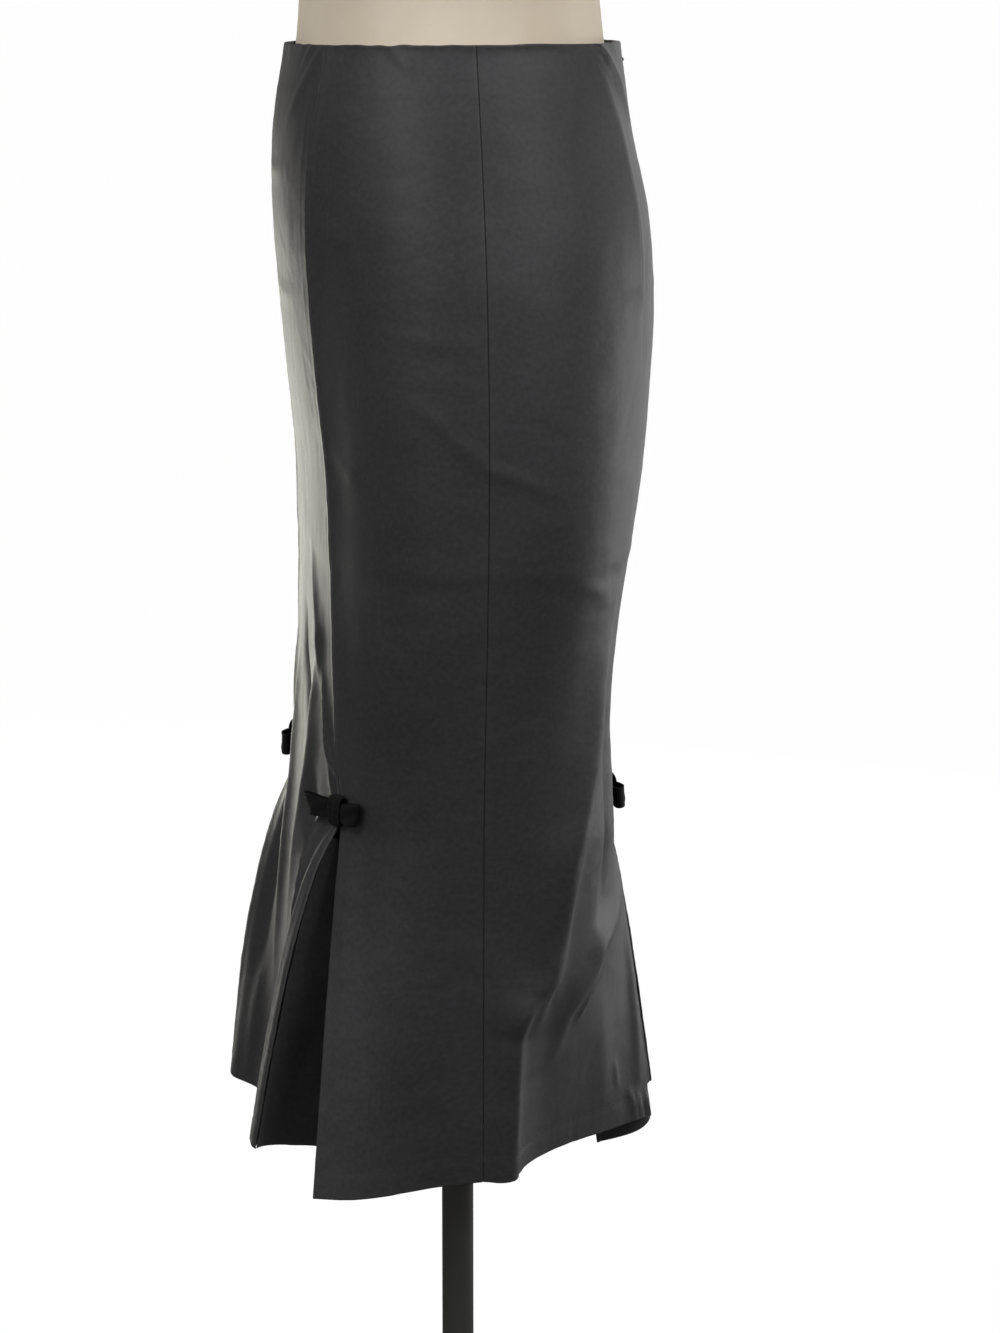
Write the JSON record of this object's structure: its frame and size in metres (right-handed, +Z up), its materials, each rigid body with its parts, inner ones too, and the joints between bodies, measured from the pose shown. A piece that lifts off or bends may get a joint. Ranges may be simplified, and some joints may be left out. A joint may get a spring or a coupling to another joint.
{
  "type": "pencil skirt on dress form",
  "caption": "Charcoal midi pencil skirt with a flared hem and bow-topped inverted pleats, worn by a limbless dress form on a round-based pole stand.",
  "frame": {"origin": "middle of the base disc's underside, on the pole's axis, on the floor", "axes": "+Z up along the pole, the skirt's front faces -Y and the wearer's left is +X"},
  "size_m": [0.36, 0.36, 1.5403],
  "materials": {
    "skirt_cloth": "charcoal stretch cotton satin with a soft sheen",
    "bow_ribbon": "black grosgrain",
    "form_jersey": "cream jersey cover",
    "stand_metal": "black satin paint on steel",
    "zip_metal": "dark gunmetal",
    "zip_coil": "black nylon coil on woven tape"
  },
  "bodies": {
    "skirt_on_form": {"front_panel": "skirt_cloth", "side_front_left": "skirt_cloth", "side_front_right": "skirt_cloth", "back_left": "skirt_cloth", "back_right": "skirt_cloth", "front_inlay_left": "skirt_cloth", "front_inlay_right": "skirt_cloth", "back_inlay": "skirt_cloth", "bow_front_left": "bow_ribbon", "bow_front_right": "bow_ribbon", "bow_back": "bow_ribbon", "knot_front_left": "bow_ribbon", "knot_front_right": "bow_ribbon", "knot_back": "bow_ribbon", "zip_chain": "zip_coil", "zip_slider": "zip_metal", "form_torso": "form_jersey", "form_neck_cap": "stand_metal", "pole_flange": "stand_metal", "pole": "stand_metal", "base_disc": "stand_metal"},
    "zip_pull_tab": {"zip_pull": "zip_metal"}
  },
  "joints": [
    {"name": "zip_pull_swing", "type": "hinge", "parent": "skirt_on_form", "child": "zip_pull_tab", "pos_m": [0, 0.1019, 0.98844], "axis": [1, 0, 0], "range_deg": [0, 150]}
  ]
}
